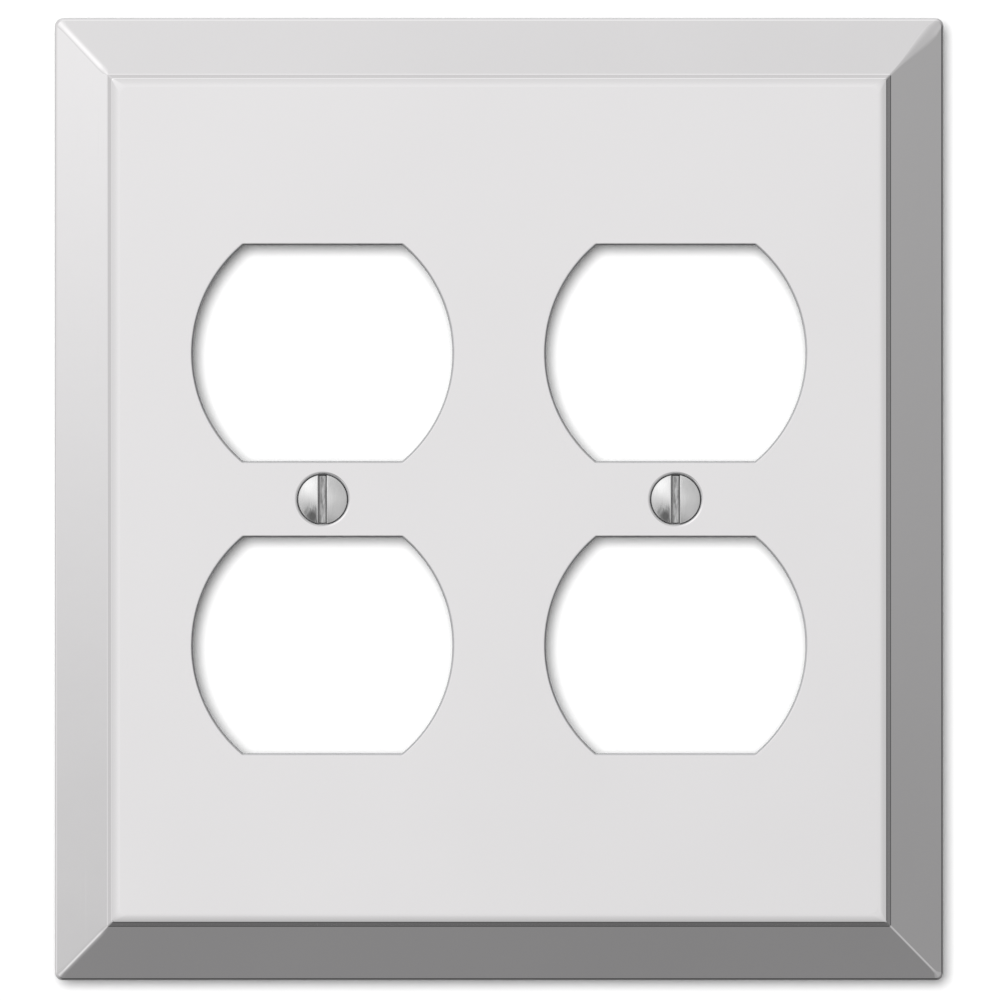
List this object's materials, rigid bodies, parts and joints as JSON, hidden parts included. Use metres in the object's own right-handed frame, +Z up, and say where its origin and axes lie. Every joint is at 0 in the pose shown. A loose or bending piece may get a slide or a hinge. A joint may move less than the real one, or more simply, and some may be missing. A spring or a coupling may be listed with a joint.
{
  "type": "wall plate cover",
  "caption": "Stepped and bevelled metal cover plate for duplex receptacles in a two-gang wall box, with its slotted oval-head screws.",
  "frame": {"origin": "middle of the plate's outline, on the plane of the wall that its rim rests on", "axes": "+X to the right and +Z up as seen from the front; +Y into the wall, so the front faces -Y"},
  "size_m": [0.116, 0.0133, 0.1256],
  "materials": {
    "plate_chrome": "polished mirror chrome over steel",
    "screw_chrome": "chromed steel with turned and brushed marks"
  },
  "bodies": {
    "plate": {"cover_plate": "plate_chrome"},
    "left_screw": {"left_screw": "screw_chrome"},
    "right_screw": {"right_screw": "screw_chrome"}
  },
  "joints": [
    {"name": "left_screw_backs_out", "type": "slide", "parent": "plate", "child": "left_screw", "axis": [0, -1, 0], "range_m": [0, 0.0145]},
    {"name": "right_screw_backs_out", "type": "slide", "parent": "plate", "child": "right_screw", "axis": [0, -1, 0], "range_m": [0, 0.0145]}
  ]
}
